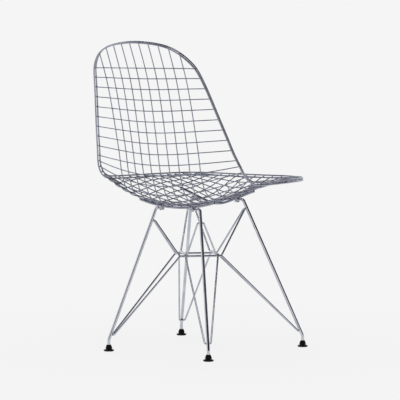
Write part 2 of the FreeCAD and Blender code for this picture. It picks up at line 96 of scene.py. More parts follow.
def mirrored(v: Vector) -> Vector:
    """The point on the other side of the middle plane."""
    return Vector((-v.x, v.y, v.z))


class Spline:
    """A smooth curve through points, with unit speed at given end tangents or free ends."""

    def __init__(self, points: Sequence[Vector], start: Vector | None = None,
                 end: Vector | None = None) -> None:
        """Solves the curve.

        Args:
            points: places that the curve goes through.
            start: direction at the first point, or None.
            end: direction at the last point, or None.
        """
        self.p = np.array([tuple(p) for p in points], float)
        chords = np.linalg.norm(np.diff(self.p, axis=0), axis=1)
        self.t = np.concatenate([[0.0], np.cumsum(chords)])
        n = len(self.p)
        a = np.zeros((n, n))
        b = np.zeros((n, 3))
        for i in range(1, n - 1):
            h0, h1 = chords[i - 1], chords[i]
            a[i, i - 1], a[i, i], a[i, i + 1] = h1, 2 * (h0 + h1), h0
            b[i] = 3 * (h1 * (self.p[i] - self.p[i - 1]) / h0 + h0 * (self.p[i + 1] - self.p[i]) / h1)
        for i, j, way in ((0, 1, start), (n - 1, n - 2, end)):
            a[i, i] = 1.0
            if way is None:
                a[i, j] = 0.5
                b[i] = 1.5 * (self.p[max(i, j)] - self.p[min(i, j)]) / abs(self.t[i] - self.t[j])
            else:
                b[i] = np.array(tuple(unit(way)))
        self.m = np.linalg.solve(a, b)

    def at(self, t: float) -> Vector:
        """Point at parameter t, which is the length along the chords.

        Args:
            t: length along the chords.

        Returns:
            The point.
        """
        i = int(np.clip(np.searchsorted(self.t, t) - 1, 0, len(self.t) - 2))
        h = self.t[i + 1] - self.t[i]
        u = (t - self.t[i]) / h
        h00, h10 = 2 * u**3 - 3 * u**2 + 1, u**3 - 2 * u**2 + u
        h01, h11 = -2 * u**3 + 3 * u**2, u**3 - u**2
        return Vector(h00 * self.p[i] + h10 * h * self.m[i] + h01 * self.p[i + 1] + h11 * h * self.m[i + 1])

    def sample(self, step: float) -> list[Vector]:
        """Points along the curve.

        Args:
            step: the widest spacing wanted.

        Returns:
            The points, with every given point among them.
        """
        out: list[Vector] = []
        for t0, t1 in zip(self.t, self.t[1:]):
            n = max(1, math.ceil((t1 - t0) / step))
            out += [self.at(t0 + (t1 - t0) * k / n) for k in range(n)]
        return out + [self.at(self.t[-1])]


class Track:
    """A smooth curve read by the length along it."""

    STEPS = 3000

    def __init__(self, points: Sequence[Sequence[float]], start: Vector, end: Vector) -> None:
        """Measures the curve.

        Args:
            points: places that the curve goes through.
            start: direction at the first point.
            end: direction at the last point.
        """
        curve = Spline([Vector(p) for p in points], start, end)
        fine = np.array([tuple(curve.at(t)) for t in np.linspace(0.0, curve.t[-1], self.STEPS + 1)])
        lengths = np.concatenate([[0.0], np.cumsum(np.linalg.norm(np.diff(fine, axis=0), axis=1))])
        self.length = float(lengths[-1])
        even = np.linspace(0.0, self.length, self.STEPS + 1)
        self.points = np.stack([np.interp(even, lengths, fine[:, k]) for k in range(3)], axis=1)

    def at(self, length: float) -> Vector:
        """Point at a length along the curve.

        Args:
            length: length from the start, kept within the curve.

        Returns:
            The point.
        """
        place = min(max(length / self.length, 0.0), 1.0) * self.STEPS
        i = min(int(place), self.STEPS - 1)
        return Vector(self.points[i] + (self.points[i + 1] - self.points[i]) * (place - i))

    def find(self, measure: Callable[[Vector], float], target: float, low: float, high: float) -> float:
        """Length at which a measure reaches a target.

        Args:
            measure: number read from a point.
            target: the number wanted.
            low: shortest length to look at.
            high: longest length to look at.

        Returns:
            The length along the curve.
        """
        rising = measure(self.at(high)) > measure(self.at(low))
        for _ in range(HALVINGS):
            middle = (low + high) / 2
            if (measure(self.at(middle)) < target) == rising:
                low = middle
            else:
                high = middle
        return (low + high) / 2


def smooth_step(value: float, span: Pair) -> float:
    """0 below the span, 1 above it and an S curve between."""
    share = min(max((value - span[0]) / (span[1] - span[0]), 0.0), 1.0)
    return share * share * (3 - 2 * share)


@dataclass
class Sheet:
    """The curved surface that the mesh lies in, in millimetres, before the shift to the frame's origin."""

    pitch: float = 29.0
    wire: float = 2.8
    rim_wire: float = 4.2
    weld_gap: float = 0.1
    long_pairs: int = 5
    side_wires: int = 3
    rows: int = 27
    first_cross: float = 75.0
    last_cross: float = 19.9
    last_back: int = 10
    first_seat: int = 17
    first_side: int = 13
    overhang: float = 4.0
    centre_profile: tuple = (
        (291.8, 827.0), (276.5, 795.0), (260.3, 759.0), (242.5, 704.5), (229.0, 648.5),
        (217.0, 591.5), (206.0, 534.0), (195.0, 484.0), (183.0, 449.0), (165.0, 417.5),
        (139.0, 400.8), (110.0, 395.0), (60.0, 392.6), (0.0, 391.6), (-76.0, 395.0),
        (-130.0, 408.5), (-180.0, 432.5), (-215.0, 449.8), (-238.0, 456.0),
    )
    front_corner_x: float = 126.0
    rim_curve: tuple = (
        (0.0, 291.8, 827.0), (45.0, 288.5, 824.3), (75.0, 284.0, 820.0), (104.0, 277.5, 812.0),
        (126.0, 271.0, 801.0), (143.0, 262.5, 787.0), (161.0, 249.5, 766.0), (173.5, 234.0, 735.0),
        (188.0, 212.0, 681.0), (201.3, 192.7, 628.0), (214.5, 172.8, 575.0), (227.0, 153.5, 525.0),
        (233.5, 144.0, 504.0), (237.5, 132.0, 484.0), (241.0, 114.0, 468.5), (243.3, 92.0, 460.5),
        (243.5, 60.0, 458.0), (240.0, 15.0, 457.3), (234.0, -35.0, 457.0), (226.5, -90.0, 457.0),
        (216.0, -147.0, 456.8), (189.6, -210.6, 456.5), (front_corner_x, -237.0, 456.2),
        (60.0, -238.0, 456.0), (0.0, -238.0, 456.0),
    )
    centre_start: Triple = (0.0, -0.42, -1.0)
    centre_end: Triple = (0.0, -1.0, 0.1)
    back_flat: float = 100.0
    bend_flat: float = 600.0
    seat_flat: float = 40.0
    seat_easing: float = 0.0017
    bend_rows: Pair = (9.0, 15.0)
    seat_rows: Pair = (15.2, 21.2)
    probe_x: float = 2.0
    probe_row: float = 0.3

    def __post_init__(self) -> None:
        """Reads the lengths along the rim at which the rows meet it."""
        centre = [(0.0, y, z) for y, z in self.centre_profile]
        self.centre_track = Track(centre, Vector(self.centre_start), Vector(self.centre_end))
        self.rim_track = Track(self.rim_curve, Vector((1, 0, 0)), Vector((-1, 0, 0)))
        rim = self.rim_track
        self.cross_pitch = (self.centre_track.length - self.first_cross - self.last_cross) / (self.rows - 1)
        self.widest = rim.find(lambda p: p.y, max(self.rim_curve)[1], 0.0, rim.length)
        first_z = self.centre_track.at(self.first_cross).z
        self.side_start = rim.find(lambda p: -p.z, -first_z, 0.0, self.widest)
        self.back_end = self.side_start + (self.last_back - 1) * self.cross_pitch
        self.seat_start = self.length_at_depth(self.centre(self.first_seat).y)
        self.lift = self.wire / 2 + self.weld_gap / 2
        self.clearance = self.pitch / 4
        self.chord_min = self.pitch / 3
        self.chord_max = self.pitch * 1.3
        self.long_x = [(i + 0.5) * self.pitch for i in range(self.long_pairs)]
        self.side_x = [(i + 0.5 + self.long_pairs) * self.pitch for i in range(self.side_wires)]

    def length_at_depth(self, y: float) -> float:
        """Length along the rim at a depth y of the seat."""
        return self.rim_track.find(lambda p: -p.y, -y, 0.0, self.rim_track.length - self.front_corner_x)

    def centre(self, row: float) -> Vector:
        """Middle of a row."""
        return self.centre_track.at(self.first_cross + (row - 1) * self.cross_pitch)

    def rim_length(self, row: float) -> float:
        """Length along the rim at which a row ends.

        Args:
            row: number of the row, which may be between two.

        Returns:
            The length.
        """
        if row <= self.last_back:
            return self.side_start + (row - 1) * self.cross_pitch
        if row < self.first_seat:
            share = (row - self.last_back) / (self.first_seat - self.last_back)
            return self.back_end + (self.seat_start - self.back_end) * share
        return self.length_at_depth(self.centre(row).y)

    def rim(self, row: float) -> Vector:
        """Left end of a row on the rim."""
        return self.rim_track.at(self.rim_length(row))

    @staticmethod
    def bow(x: float, flat: float, ease: float) -> float:
        """Rise of a row away from its middle, not yet to scale."""
        return math.hypot(x, flat) - flat - ease * x * x

    def rise(self, row: float, x: float, edge_x: float) -> float:
        """How far a row has come from its middle to the rim at x, from 0 to 1.

        Args:
            row: number of the row.
            x: distance from the middle plane.
            edge_x: that distance at the rim.

        Returns:
            The share.
        """
        flat = self.back_flat + (self.bend_flat - self.back_flat) * smooth_step(row, self.bend_rows)
        behind = self.bow(x, flat, 0.0) / self.bow(edge_x, flat, 0.0)
        seat = (self.seat_flat, self.seat_easing)
        ahead = self.bow(x, *seat) / self.bow(edge_x, *seat)
        return behind + (ahead - behind) * smooth_step(row, self.seat_rows)

    def point(self, row: float, x: float) -> Vector:
        """Point of the sheet on a row at a distance from the middle plane.

        Args:
            row: number of the row.
            x: distance from the middle plane.

        Returns:
            The point.
        """
        middle = self.centre(row)
        edge = self.rim(max(row, 1.0))
        if row < 1.0:
            edge = middle + (edge - self.centre(1.0))
        share = self.rise(row, x, edge.x)
        return Vector((x, middle.y + (edge.y - middle.y) * share, middle.z + (edge.z - middle.z) * share))

    def normal(self, row: float, x: float) -> Vector:
        """Unit normal towards the sitter.

        Args:
            row: number of the row.
            x: distance from the middle plane.

        Returns:
            The normal.
        """
        across = self.point(row, x + self.probe_x) - self.point(row, x - self.probe_x)
        down = self.point(row + self.probe_row, x) - self.point(row - self.probe_row, x)
        return unit(down.cross(across))

    def layer(self, row: float, x: float, lift: float) -> Vector:
        """Point at a height over the sheet."""
        return self.point(row, x) + self.normal(row, x) * lift

    def row_under(self, x: float, y: float) -> float:
        """Row of the seat over the floor point (x, y).

        Args:
            x: distance from the middle plane.
            y: depth.

        Returns:
            The row's number, which may be between two.
        """
        low, high = float(self.last_back), float(self.rows)
        for _ in range(HALVINGS):
            middle = (low + high) / 2
            if self.point(middle, x).y > y:
                low = middle
            else:
                high = middle
        return low

    def crossings(self, row: int) -> list[float]:
        """Distances from the middle at which wires cross a row, on one side.

        Args:
            row: number of the row.

        Returns:
            The distances.
        """
        found = list(self.long_x)
        if row >= self.first_side:
            found += [x for x in self.side_x if self.rim(row).x - x > self.clearance]
        return found

    def long_end(self, x: float, front: bool) -> Vector:
        """Rim point at which a wire along the chair ends.

        Args:
            x: distance from the middle plane.
            front: whether the front end is meant.

        Returns:
            The point.
        """
        rim = self.rim_track
        if front:
            return rim.at(rim.find(lambda p: -p.x, -x, self.widest, rim.length))
        return rim.at(rim.find(lambda p: p.x, x, 0.0, self.side_start))

    def side_rows(self, x: float) -> list[int]:
        """Rows that a short seat wire crosses."""
        return [r for r in range(self.first_side, self.rows + 1) if self.rim(r).x - x > self.clearance]

    def junctions(self) -> list[tuple[float, Vector]]:
        """Places on the left half of the rim, each with the way into the mesh.

        Returns:
            Pairs of a length along the rim and a direction.
        """
        rim = self.rim_track
        found: list[tuple[float, Vector]] = []
        for x in self.long_x:
            length = rim.find(lambda p: p.x, x, 0.0, self.side_start)
            found.append((length, self.point(1, x) - rim.at(length)))
        for row in range(1, self.rows + 1):
            found.append((self.rim_length(row), self.point(row, max(self.crossings(row))) - self.rim(row)))
        for x in self.long_x + self.side_x[:-1]:
            length = rim.find(lambda p: -p.x, -x, self.widest, rim.length)
            found.append((length, self.point(self.rows - 1, x) - rim.at(length)))
        found.sort(key=lambda item: item[0])
        kept = [(0.0, self.point(1, 0.0) - rim.at(0.0))]
        for length, inward in found:
            gap = length - kept[-1][0]
            if gap < self.chord_min:
                continue
            if gap > self.chord_max:
                kept.append((length - gap / 2, unit(kept[-1][1]) + unit(inward)))
            kept.append((length, inward))
        return kept + [(rim.length, self.point(self.rows - 1, 0.0) - rim.at(rim.length))]


SHEET = Sheet()


class Shop:
    """Blender operators wrapped for this chair. Points come in millimetres before the shift."""

    ROD_SMOOTHING = 50
    SOLID_SMOOTHING = 35
    TURNED_EDGE = 30
    BLOCK_EDGE = 40
    CORNER_SEGMENTS = 8

    @staticmethod
    def clear() -> None:
        """Leaves nothing selected and no mode open."""
        if bpy.context.object and bpy.context.object.mode != "OBJECT":
            bpy.ops.object.mode_set(mode="OBJECT")
        bpy.ops.object.select_all(action="DESELECT")

    @staticmethod
    def place(p: Vector) -> Vector:
        """A millimetre point in the frame, in metres."""
        return Vector((p.x * MM, (p.y + SHIFT_Y) * MM, p.z * MM))

    @staticmethod
    def heal() -> None:
        """Merges doubled points, turns the faces outwards and leaves edit mode."""
        bpy.ops.mesh.select_all(action="SELECT")
        bpy.ops.mesh.remove_doubles(threshold=MERGE_DISTANCE)
        bpy.ops.mesh.normals_make_consistent(inside=False)
        bpy.ops.object.mode_set(mode="OBJECT")

    @staticmethod
    def rod(name: str, paths: Sequence[Sequence[Vector]], radius: float, closed: bool = False,
            sides: int = 3) -> Piece:
        """Round rods along paths, as one mesh piece.

        Args:
            name: name of the piece.
            paths: one list of points for each rod.
            radius: radius in millimetres.
            closed: whether each path is a ring.
            sides: bevel resolution of the round section.

        Returns:
            The mesh object.
        """
        Shop.clear()
        bpy.ops.curve.primitive_nurbs_path_add()
        obj = bpy.context.object
        obj.name = name
        curve = obj.data
        curve.splines.clear()
        for path in paths:
            spline = curve.splines.new("POLY")
            spline.points.add(len(path) - 1)
            for point, p in zip(spline.points, path):
                point.co = (*Shop.place(p), 1.0)
            spline.use_cyclic_u = closed
            spline.use_smooth = True
        curve.dimensions = "3D"
        curve.twist_mode = "MINIMUM"
        curve.bevel_depth = radius * MM
        curve.bevel_resolution = sides
        curve.use_fill_caps = not closed
        bpy.ops.object.convert(target="MESH")
        obj = bpy.context.object
        bpy.ops.object.mode_set(mode="EDIT")
        Shop.heal()
        bpy.ops.object.shade_smooth_by_angle(angle=math.radians(Shop.ROD_SMOOTHING))
        return obj

    @staticmethod
    def modifier(obj: Piece, kind: str, **settings: object) -> None:
        """Adds a modifier and applies it.

        Args:
            obj: the piece.
            kind: type of the modifier.
            settings: its properties.
        """
        Shop.clear()
        bpy.context.view_layer.objects.active = obj
        obj.select_set(True)
        modifier = obj.modifiers.new(kind.lower(), kind)
        for key, value in settings.items():
            setattr(modifier, key, value)
        bpy.ops.object.modifier_apply(modifier=modifier.name)

    @staticmethod
    def bevel(obj: Piece, width: float, degrees: float) -> None:
        """Rounds the edges sharper than an angle."""
        Shop.modifier(obj, "BEVEL", width=width * MM, segments=3, limit_method="ANGLE",
                      angle_limit=math.radians(degrees))

    @staticmethod
    def settle(obj: Piece, matrix: Matrix | None = None) -> Piece:
        """Puts a piece's place into its mesh.

        Args:
            obj: the piece.
            matrix: extra transform in metres, or None.

        Returns:
            The same object, at the origin.
        """
        full = (matrix or Matrix.Identity(4)) @ obj.matrix_basis
        obj.data.transform(full)
        obj.matrix_basis = Matrix.Identity(4)
        if full.determinant() < 0:
            obj.data.flip_normals()
        return obj

    @staticmethod
    def join(pieces: Sequence[Piece], name: str) -> Piece:
        """Joins settled pieces into one.

        Args:
            pieces: the pieces.
            name: name of the whole.

        Returns:
            The joined piece.
        """
        Shop.clear()
        for piece in pieces:
            piece.select_set(True)
        bpy.context.view_layer.objects.active = pieces[0]
        if len(pieces) > 1:
            bpy.ops.object.join()
        pieces[0].name = name
        return pieces[0]

    @staticmethod
    def stand(place: Vector, up: Vector, along: Vector) -> Matrix:
        """Transform that stands a template on a place of the sheet.

        Args:
            place: millimetre point.
            up: the sheet's normal.
            along: a direction in the sheet.

        Returns:
            The transform in metres.
        """
        z = unit(up)
        x = unit(along - z * along.dot(z))
        y = z.cross(x)
        return Matrix.Translation(Shop.place(place)) @ Matrix((x, y, z)).transposed().to_4x4()

    @staticmethod
    def bead(size: Triple, finer: int = 1) -> Piece:
        """A small lump of weld metal round the origin.

        Args:
            size: half its length, width and height in millimetres.
            finer: how often its faces are split.

        Returns:
            The template.
        """
        Shop.clear()
        bpy.ops.mesh.primitive_ico_sphere_add(subdivisions=finer, radius=MM)
        obj = bpy.context.object
        obj.scale = size
        return Shop.settle(obj)

    @staticmethod
    def strew(template: Piece, name: str, places: Iterable[Matrix]) -> Piece:
        """Copies a small template to many places, as one piece.

        Args:
            template: a settled mesh round the origin, in metres.
            name: name of the piece.
            places: transforms in metres.

        Returns:
            The new mesh object.
        """
        bm = bmesh.new()
        for matrix in places:
            start = len(bm.verts)
            bm.from_mesh(template.data)
            bm.verts.ensure_lookup_table()
            bmesh.ops.transform(bm, matrix=matrix, verts=bm.verts[start:])
        mesh = bpy.data.meshes.new(name)
        bm.to_mesh(mesh)
        bm.free()
        obj = bpy.data.objects.new(name, mesh)
        bpy.context.scene.collection.objects.link(obj)
        mesh.shade_smooth()
        return obj

    @staticmethod
    def lathe(name: str, profile: Sequence[Pair], steps: int, bevel: float) -> Piece:
        """Turns a closed or axis-to-axis profile about the upright axis.

        Args:
            name: name of the piece.
            profile: (radius, height) points in millimetres, starting and ending on the axis.
            steps: faces round the axis.
            bevel: width in millimetres of the rounding of sharp edges.

        Returns:
            The turned mesh round the origin.
        """
        Shop.clear()
        bpy.ops.mesh.primitive_plane_add(size=1.0, location=(0, 0, 0))
        obj = bpy.context.object
        obj.name = name
        bpy.ops.object.mode_set(mode="EDIT")
        bpy.ops.mesh.select_all(action="SELECT")
        bpy.ops.mesh.delete(type="VERT")
        bpy.ops.object.mode_set(mode="OBJECT")
        verts = [(r * MM, 0.0, z * MM) for r, z in profile]
        obj.data.from_pydata(verts, [(i, i + 1) for i in range(len(verts) - 1)], [])
        bpy.ops.object.mode_set(mode="EDIT")
        bpy.ops.mesh.select_all(action="SELECT")
        bpy.ops.mesh.spin(steps=steps, angle=math.tau, center=(0, 0, 0), axis=(0, 0, 1))
        Shop.heal()
        Shop.bevel(obj, bevel, Shop.TURNED_EDGE)
        Shop.clear()
        obj.select_set(True)
        bpy.context.view_layer.objects.active = obj
        bpy.ops.object.shade_smooth_by_angle(angle=math.radians(Shop.SOLID_SMOOTHING))
        return obj

    @staticmethod
    def bar(name: str, size: Triple, bevel: float, corner: float) -> Piece:
        """A rounded block round the origin, in millimetres.

        Args:
            name: name of the piece.
            size: full length, width and height.
            bevel: rounding of all edges.
            corner: rounding of the upright edges.

        Returns:
            The mesh object.
        """
        Shop.clear()
        bpy.ops.mesh.primitive_cube_add(size=1.0, location=(0, 0, 0))
        obj = bpy.context.object
        obj.name = name
        obj.scale = [s * MM for s in size]
        Shop.settle(obj)
        bm = bmesh.new()
        bm.from_mesh(obj.data)
        upright = [e for e in bm.edges if abs((e.verts[0].co - e.verts[1].co).normalized().z) > 0.9]
        bmesh.ops.bevel(bm, geom=upright, offset=corner * MM, segments=Shop.CORNER_SEGMENTS,
                        affect="EDGES", profile=0.5)
        bm.to_mesh(obj.data)
        bm.free()
        Shop.bevel(obj, bevel, Shop.BLOCK_EDGE)
        bpy.ops.object.shade_smooth_by_angle(angle=math.radians(Shop.SOLID_SMOOTHING))
        return obj

    @staticmethod
    def cut(obj: Piece, cutter: Piece) -> None:
        """Takes a cutter out of a piece and removes the cutter."""
        Shop.modifier(obj, "BOOLEAN", object=cutter, operation="DIFFERENCE", solver="EXACT")
        bpy.data.objects.remove(cutter)

    @staticmethod
    def bore(obj: Piece, radius: float, depth: float, sides: int, matrix: Matrix) -> None:
        """Cuts a straight hole.

        Args:
            obj: the piece.
            radius: the hole's radius in millimetres.
            depth: the cutter's whole length in millimetres.
            sides: faces round the hole.
            matrix: place in metres of the cutter's middle, whose axis is upright before it.
        """
        Shop.clear()
        bpy.ops.mesh.primitive_cylinder_add(vertices=sides, radius=radius * MM, depth=depth * MM)
        Shop.cut(obj, Shop.settle(bpy.context.object, matrix))


class Wiring:
    """The node tree of a material or world, with short ways to add and link nodes."""

    def __init__(self, owner: bpy.types.Material | bpy.types.World) -> None:
        """Opens the node tree of a material or world."""
        owner.use_nodes = True
        self.tree = owner.node_tree

    def add(self, kind: str, values: dict[str, object] | None = None, **settings: object) -> Node:
        """Adds a node.

        Args:
            kind: its type, without the words that all shader nodes start with.
            values: input values by the inputs' names.
            settings: other properties of the node, set first.

        Returns:
            The node.
        """
        node = self.tree.nodes.new(f"ShaderNode{kind}")
        for key, value in settings.items():
            setattr(node, key, value)
        return self.fill(node, values or {})

    @staticmethod
    def fill(node: Node, values: dict[str, object]) -> Node:
        """Sets inputs of a node.

        Args:
            node: the node.
            values: input values by the inputs' names.

        Returns:
            The same node.
        """
        for key, value in values.items():
            node.inputs[key].default_value = value
        return node

    def link(self, source: Node, output: str | int, target: Node, entry: str | int) -> None:
        """Links an output of one node to an input of another."""
        self.tree.links.new(source.outputs[output], target.inputs[entry])

    def grain(self, shader: Node, place: Node, scale: float, detail: float,
              roughness: Pair, bump: float) -> Node:
        """Fine noise that sets a shader's roughness and bump.

        Args:
            shader: the shader.
            place: texture coordinates.
            scale: scale of the noise.
            detail: detail of the noise.
            roughness: least and greatest roughness.
            bump: strength of the bump.

        Returns:
            The noise node.
        """
        noise = self.add("TexNoise", {"Scale": scale, "Detail": detail})
        self.link(place, "Object", noise, "Vector")
        rough = self.add("MapRange", {"To Min": roughness[0], "To Max": roughness[1]})
        self.link(noise, "Fac", rough, "Value")
        self.link(rough, "Result", shader, "Roughness")
        relief = self.add("Bump", {"Strength": bump, "Distance": BUMP_DEPTH})
        self.link(noise, "Fac", relief, "Height")
        self.link(relief, "Normal", shader, "Normal")
        return noise

    def blend(self, share: Node, first: Node, second: Node, output: str) -> None:
        """Mixes two shaders into an output.

        Args:
            share: node whose value is the second shader's share.
            first: the shader at a share of 0.
            second: the shader at a share of 1.
            output: name of the output node.
        """
        mix = self.add("MixShader")
        self.link(share, "Value", mix, "Fac")
        self.link(first, 0, mix, 1)
        self.link(second, 0, mix, 2)
        self.link(mix, "Shader", self.tree.nodes[output], "Surface")


@dataclass(frozen=True)
class ChromeFinish:
    """Polished chrome plating with a faint cloudy haze and a fine, slightly uneven polish."""

    name: str
    slot: Slot
    tint: Triple = (0.47, 0.475, 0.52)
    shade: Triple = (0.36, 0.365, 0.41)
    roughness: Pair = (0.06, 0.15)
    grain: float = 350.0
    grain_detail: float = 3.0
    haze: float = 34.0
    haze_detail: float = 6.0
    haze_band: Pair = (0.35, 0.62)
    bump: float = 0.012

    def build(self) -> bpy.types.Material:
        """Makes the material.

        Returns:
            The node material.
        """
        material = bpy.data.materials.new(self.name)
        wiring = Wiring(material)
        shader = wiring.fill(wiring.tree.nodes["Principled BSDF"], {"Metallic": 1.0, "IOR": 1.5})
        place = wiring.add("TexCoord")
        haze = wiring.add("TexNoise", {"Scale": self.haze, "Detail": self.haze_detail})
        wiring.link(place, "Object", haze, "Vector")
        colour = wiring.add("ValToRGB")
        ramp = colour.color_ramp.elements
        for element, position, tone in zip(ramp, self.haze_band, (self.shade, self.tint)):
            element.position = position
            element.color = (*tone, 1.0)
        wiring.link(haze, "Fac", colour, "Fac")
        wiring.link(colour, "Color", shader, "Base Color")
        wiring.grain(shader, place, self.grain, self.grain_detail, self.roughness, self.bump)
        return material


@dataclass(frozen=True)
class PlasticFinish:
    """Black moulded plastic with a fine matt grain and a dusty lower edge."""

    name: str
    slot: Slot
    colour: Triple = (0.004, 0.004, 0.0045)
    dusty: Triple = (0.03, 0.029, 0.028)
    dust_height: float = 0.006
    dust_share: float = 0.75
    shine: float = 0.15
    grain: float = 1800.0
    grain_detail: float = 4.0
    roughness: Pair = (0.38, 0.62)
    bump: float = 0.25

    def build(self) -> bpy.types.Material:
        """Makes the material.

        Returns:
            The node material.
        """
        material = bpy.data.materials.new(self.name)
        wiring = Wiring(material)
        shader = wiring.fill(wiring.tree.nodes["Principled BSDF"], {"Specular IOR Level": self.shine})
        place = wiring.add("TexCoord")
        grain = wiring.grain(shader, place, self.grain, self.grain_detail, self.roughness, self.bump)
        height = wiring.add("SeparateXYZ")
        wiring.link(place, "Object", height, "Vector")
        low = wiring.add("MapRange", {"From Min": 0.0, "From Max": self.dust_height,
                                      "To Min": self.dust_share, "To Max": 0.0})
        wiring.link(height, "Z", low, "Value")
        patch = wiring.add("Math", operation="MULTIPLY")
        wiring.link(low, "Result", patch, 0)
        wiring.link(grain, "Fac", patch, 1)
        mix = wiring.add("Mix", {"A": (*self.colour, 1.0), "B": (*self.dusty, 1.0)}, data_type="RGBA")
        wiring.link(patch, "Value", mix, "Factor")
        wiring.link(mix, "Result", shader, "Base Color")
        return material


FINISHES = (
    # The mesh, rim, brace and rail finishes are darker copies of the leg chrome: their lower tint and shade
    # are painted shade, not a different plating.
    ChromeFinish("mesh_chrome_painted_shade", Slot.MESH, tint=(0.28, 0.295, 0.36), shade=(0.2, 0.215, 0.27)),
    ChromeFinish("rim_chrome_painted_shade", Slot.RIM, tint=(0.38, 0.395, 0.46), shade=(0.28, 0.295, 0.35)),
    ChromeFinish("base_chrome", Slot.BASE, tint=(0.6, 0.615, 0.67), shade=(0.5, 0.515, 0.57)),
    # Braces: the leg chrome with a lower tint, painted shade.
    ChromeFinish("brace_chrome_painted_shade", Slot.BASE, tint=(0.5, 0.515, 0.58), shade=(0.41, 0.425, 0.48)),
    # Rails: the leg chrome with a lower tint, painted shade for the shade under the seat.
    ChromeFinish("rail_chrome_painted_shade", Slot.BASE, tint=(0.34, 0.355, 0.42), shade=(0.24, 0.255, 0.31)),
    ChromeFinish("fitting_chrome", Slot.FITTINGS, roughness=(0.16, 0.32), grain=600.0),
    ChromeFinish("screw_steel", Slot.SCREW, tint=(0.36, 0.36, 0.38), shade=(0.2, 0.2, 0.21),
                 roughness=(0.25, 0.45)),
    PlasticFinish("glide_plastic", Slot.PLASTIC),
)


class Dresser:
    """Builds the finishes once, dresses pieces and counts them."""

    def __init__(self) -> None:
        """Makes every finish."""
        self.materials = {finish.name: finish.build() for finish in FINISHES}
        self.usual = {finish.slot: finish.name for finish in reversed(FINISHES)}
        self.count = 0

    def dress(self, obj: Piece, slot: Slot, body: str, nodes: Sequence[str] = (),
              finish: str = "") -> None:
        """Finishes a piece.

        Args:
            obj: the piece.
            slot: the record's material slot.
            body: the body it rides on.
            nodes: the CAD nodes it stands for.
            finish: name of its finish, or nothing for the slot's usual one.
        """
        obj.data.materials.clear()
        obj.data.materials.append(self.materials[finish or self.usual[slot]])
        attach(obj, body)
        if nodes:
            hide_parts(*nodes)
        self.count += 1
        log.info("piece %s on %s: %d faces", obj.name, body, len(obj.data.polygons))


@dataclass
class MeshShell:
    """The welded wire mesh of seat and back with its double rim."""

    dresser: Dresser
    step: float = 7.0
    rim_step: float = 5.6
    overlap: int = 3
    nugget_wide: float = 1.55
    nugget_high: float = 0.85

    def build(self) -> None:
        """Builds all wires, rims and weld nuggets."""
        self.nugget = Shop.bead((self.nugget_wide, self.nugget_wide, self.nugget_high))
        self.build_long_wires()
        self.build_side_wires()
        self.build_cross_wires()
        self.build_rims()
        bpy.data.objects.remove(self.nugget)

    def smooth(self, points: Sequence[Vector]) -> list[Vector]:
        """Smooth path through the crossings."""
        return Spline(points).sample(self.step)

    def build_long_wires(self) -> None:
        """Wires from the top of the back to the front of the seat, in mirrored pairs."""
        s = SHEET
        for i, x in enumerate(s.long_x, start=1):
            rows = [s.layer(row, x, -s.lift) for row in range(1, s.rows + 1)]
            path = self.smooth([s.long_end(x, False)] + rows + [s.long_end(x, True)])
            obj = Shop.rod(f"long_wires_{i}", [path, [mirrored(p) for p in path]], s.wire / 2)
            self.dresser.dress(obj, Slot.MESH, "chair", [f"long_wires_pair_{i}"])

    def build_side_wires(self) -> None:
        """Short wires at the sides of the seat."""
        s = SHEET
        paths: list[list[Vector]] = []
        for x in s.side_x:
            rows = s.side_rows(x)
            points = [s.layer(row, x, -s.lift) for row in rows]
            points.insert(0, points[0] + unit(points[0] - points[1]) * s.overhang)
            front = s.long_end(x, True)
            ends = [s.rim(row) for row in range(s.first_seat, s.rows + 1)]
            if min((front - end).length for end in ends) > s.chord_min:
                points.append(front)
            else:
                points.append(points[-1] + unit(points[-1] - points[-2]) * s.overhang)
            paths.append(self.smooth(points))
        left = Shop.rod("side_wires_left", paths, s.wire / 2)
        self.dresser.dress(left, Slot.MESH, "chair", ["seat_side_wires_left"])
        right = Shop.rod("side_wires_right", [[mirrored(p) for p in path] for path in paths], s.wire / 2)
        self.dresser.dress(right, Slot.MESH, "chair", ["seat_side_wires_right"])

    def build_cross_wires(self) -> None:
        """Wires across the shell, each with the weld nuggets on it."""
        s = SHEET
        for row in range(1, s.rows + 1):
            kind = "back" if row <= s.last_back else "bend" if row < s.first_seat else "seat"
            half = [s.layer(row, x, s.lift) for x in s.crossings(row)] + [s.rim(row)]
            path = self.smooth([mirrored(p) for p in reversed(half)] + half)
            obj = Shop.rod(f"cross_{row:02d}_{kind}_wire", [path], s.wire / 2)
            self.dresser.dress(obj, Slot.MESH, "chair", [f"cross_wire_{row:02d}_{kind}"])
            places: list[Matrix] = []
            for x in s.crossings(row):
                for side in (1, -1):
                    place, up = s.point(row, x), s.normal(row, x)
                    if side < 0:
                        place, up = mirrored(place), mirrored(up)
                    places.append(Shop.stand(place, up, Vector((1, 1, 0))))
            welds = Shop.strew(self.nugget, f"cross_{row:02d}_welds", places)
            self.dresser.dress(welds, Slot.MESH, "chair")

    def build_rims(self) -> None:
        """The two closed rods that hold the wire ends between them."""
        s = SHEET
        rim = s.rim_track
        for side, name in ((1, "rim_upper_strand"), (-1, "rim_lower_strand")):
            lift = side * (s.wire / 2 + s.weld_gap + s.rim_wire / 2)
            half: list[Vector] = []
            for length, inward in s.junctions():
                tangent = rim.at(length + 1.0) - rim.at(length - 1.0)
                half.append(rim.at(length) + unit(inward.cross(tangent)) * (-lift))
            half[0].x = 0.0
            half[-1].x = 0.0
            ring = half + [mirrored(p) for p in reversed(half[1:-1])]
            curve = Spline(ring[-self.overlap:] + ring + ring[:self.overlap + 1])
            start, end = curve.t[self.overlap], curve.t[self.overlap + len(ring)]
            count = int((end - start) / self.rim_step)
            path = [curve.at(start + (end - start) * k / count) for k in range(count)]
            obj = Shop.rod(f"{name}_rod", [path], s.rim_wire / 2, closed=True, sides=4)
            self.dresser.dress(obj, Slot.RIM, "chair", [name])


